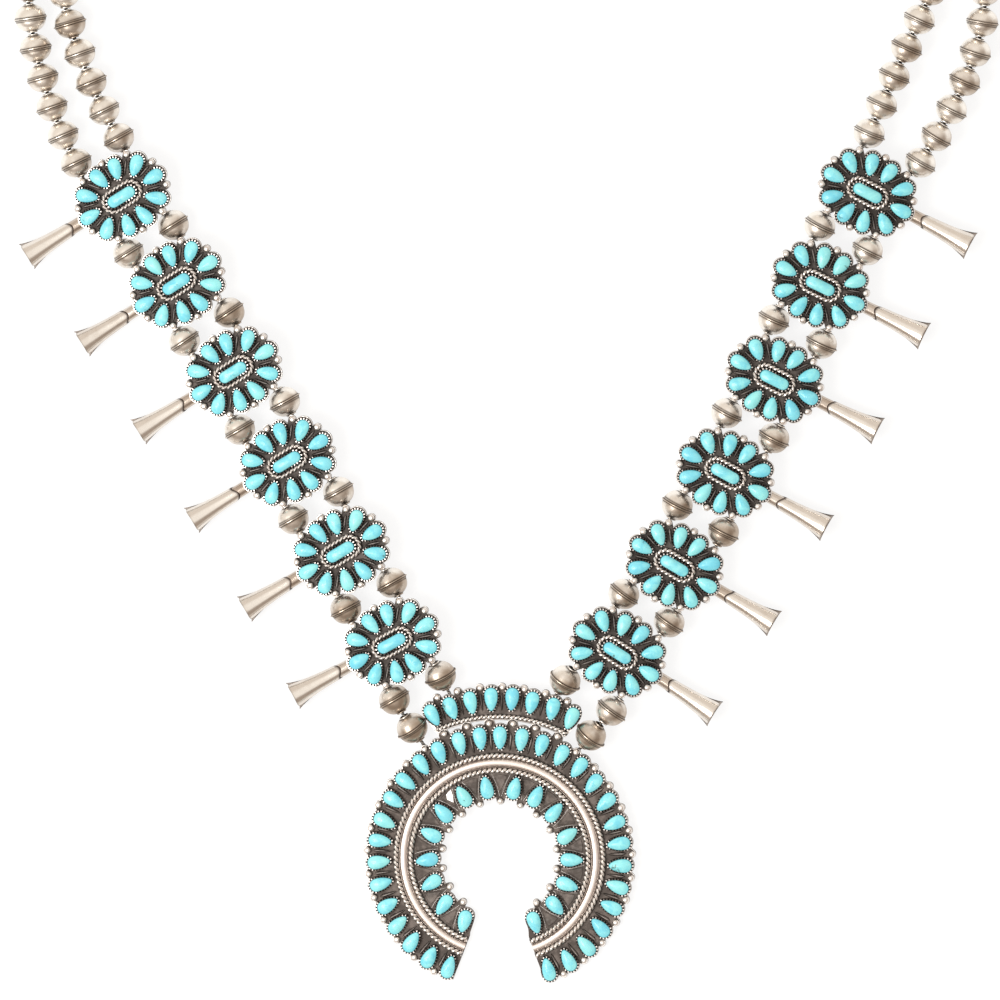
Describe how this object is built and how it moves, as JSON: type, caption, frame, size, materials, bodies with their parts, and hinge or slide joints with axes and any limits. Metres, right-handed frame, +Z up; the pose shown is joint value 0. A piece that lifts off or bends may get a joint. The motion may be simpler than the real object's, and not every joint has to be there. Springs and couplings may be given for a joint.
{
  "type": "squash blossom necklace",
  "caption": "Two strands of hollow silver beads with turquoise cluster blossoms and trumpets, and a crescent pendant with a crown row, lying flat.",
  "frame": {"origin": "under the middle of the whole necklace, on the surface it lies on", "axes": "+Z up from the surface; the pendant points to -Y, the clasp is at +Y; +X is the right side of the picture"},
  "size_m": [0.2584, 0.3096, 0.0098],
  "materials": {
    "blossom_silver": "polished silver, darkened in the recesses",
    "pendant_silver": "polished silver, darkened in the recesses",
    "bead_silver": "worn polished silver, warm grey",
    "turquoise": "polished light blue turquoise"
  },
  "bodies": {
    "root": {"blossom_l1": "blossom_silver", "blossom_l2": "blossom_silver", "blossom_l3": "blossom_silver", "blossom_l4": "blossom_silver", "blossom_l5": "blossom_silver", "blossom_l6": "blossom_silver", "blossom_r1": "blossom_silver", "blossom_r2": "blossom_silver", "blossom_r3": "blossom_silver", "blossom_r4": "blossom_silver", "blossom_r5": "blossom_silver", "blossom_r6": "blossom_silver", "stones_l1": "turquoise", "stones_l2": "turquoise", "stones_l3": "turquoise", "stones_l4": "turquoise", "stones_l5": "turquoise", "stones_l6": "turquoise", "stones_r1": "turquoise", "stones_r2": "turquoise", "stones_r3": "turquoise", "stones_r4": "turquoise", "stones_r5": "turquoise", "stones_r6": "turquoise", "bead_lo1": "bead_silver", "bead_lo2": "bead_silver", "bead_lo3": "bead_silver", "bead_lo4": "bead_silver", "bead_lo5": "bead_silver", "bead_lo6": "bead_silver", "bead_lo7": "bead_silver", "bead_li1": "bead_silver", "bead_li2": "bead_silver", "bead_li3": "bead_silver", "bead_li4": "bead_silver", "bead_li5": "bead_silver", "bead_li6": "bead_silver", "bead_ro1": "bead_silver", "bead_ro2": "bead_silver", "bead_ro3": "bead_silver", "bead_ro4": "bead_silver", "bead_ro5": "bead_silver", "bead_ro6": "bead_silver", "bead_ro7": "bead_silver", "bead_ri1": "bead_silver", "bead_ri2": "bead_silver", "bead_ri3": "bead_silver", "bead_ri4": "bead_silver", "bead_ri5": "bead_silver", "bead_ri6": "bead_silver", "strand_lo": "bead_silver", "strand_li": "bead_silver", "strand_ro": "bead_silver", "strand_ri": "bead_silver", "naja": "pendant_silver", "naja_stones": "turquoise", "crown_stones": "turquoise", "clasp": "bead_silver"}
  },
  "joints": []
}
